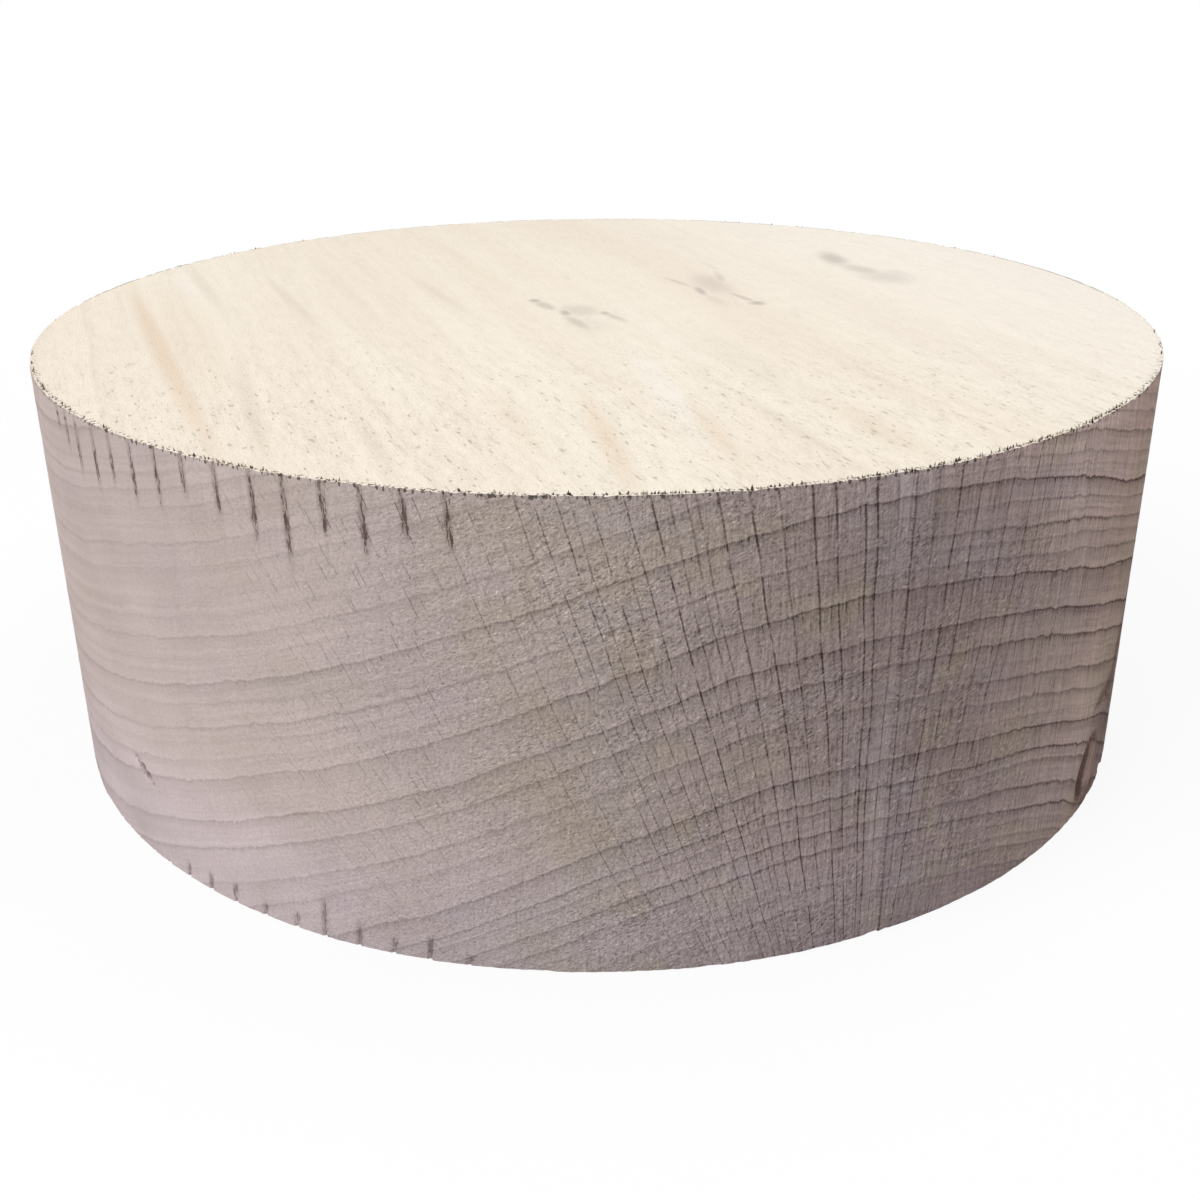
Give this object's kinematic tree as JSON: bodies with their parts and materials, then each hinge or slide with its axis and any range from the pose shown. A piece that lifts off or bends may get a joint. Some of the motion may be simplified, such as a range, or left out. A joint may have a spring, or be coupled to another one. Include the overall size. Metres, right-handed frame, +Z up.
{
  "type": "wood turning blank",
  "caption": "Thick round disc of flat-sawn hardwood with a band-sawn rim, for turning a bowl or platter on a lathe.",
  "frame": {"origin": "centre of the lower plank face, which the blank rests on", "axes": "+Z up through the thickness, square to both plank faces; -Y towards the sawn stretch of rim that shows in front, +X to its right"},
  "size_m": [0.207, 0.207, 0.0762],
  "materials": {
    "wood": "bare, band-sawn, unfinished"
  },
  "bodies": {
    "root": {"turning_blank": "wood"}
  },
  "joints": []
}
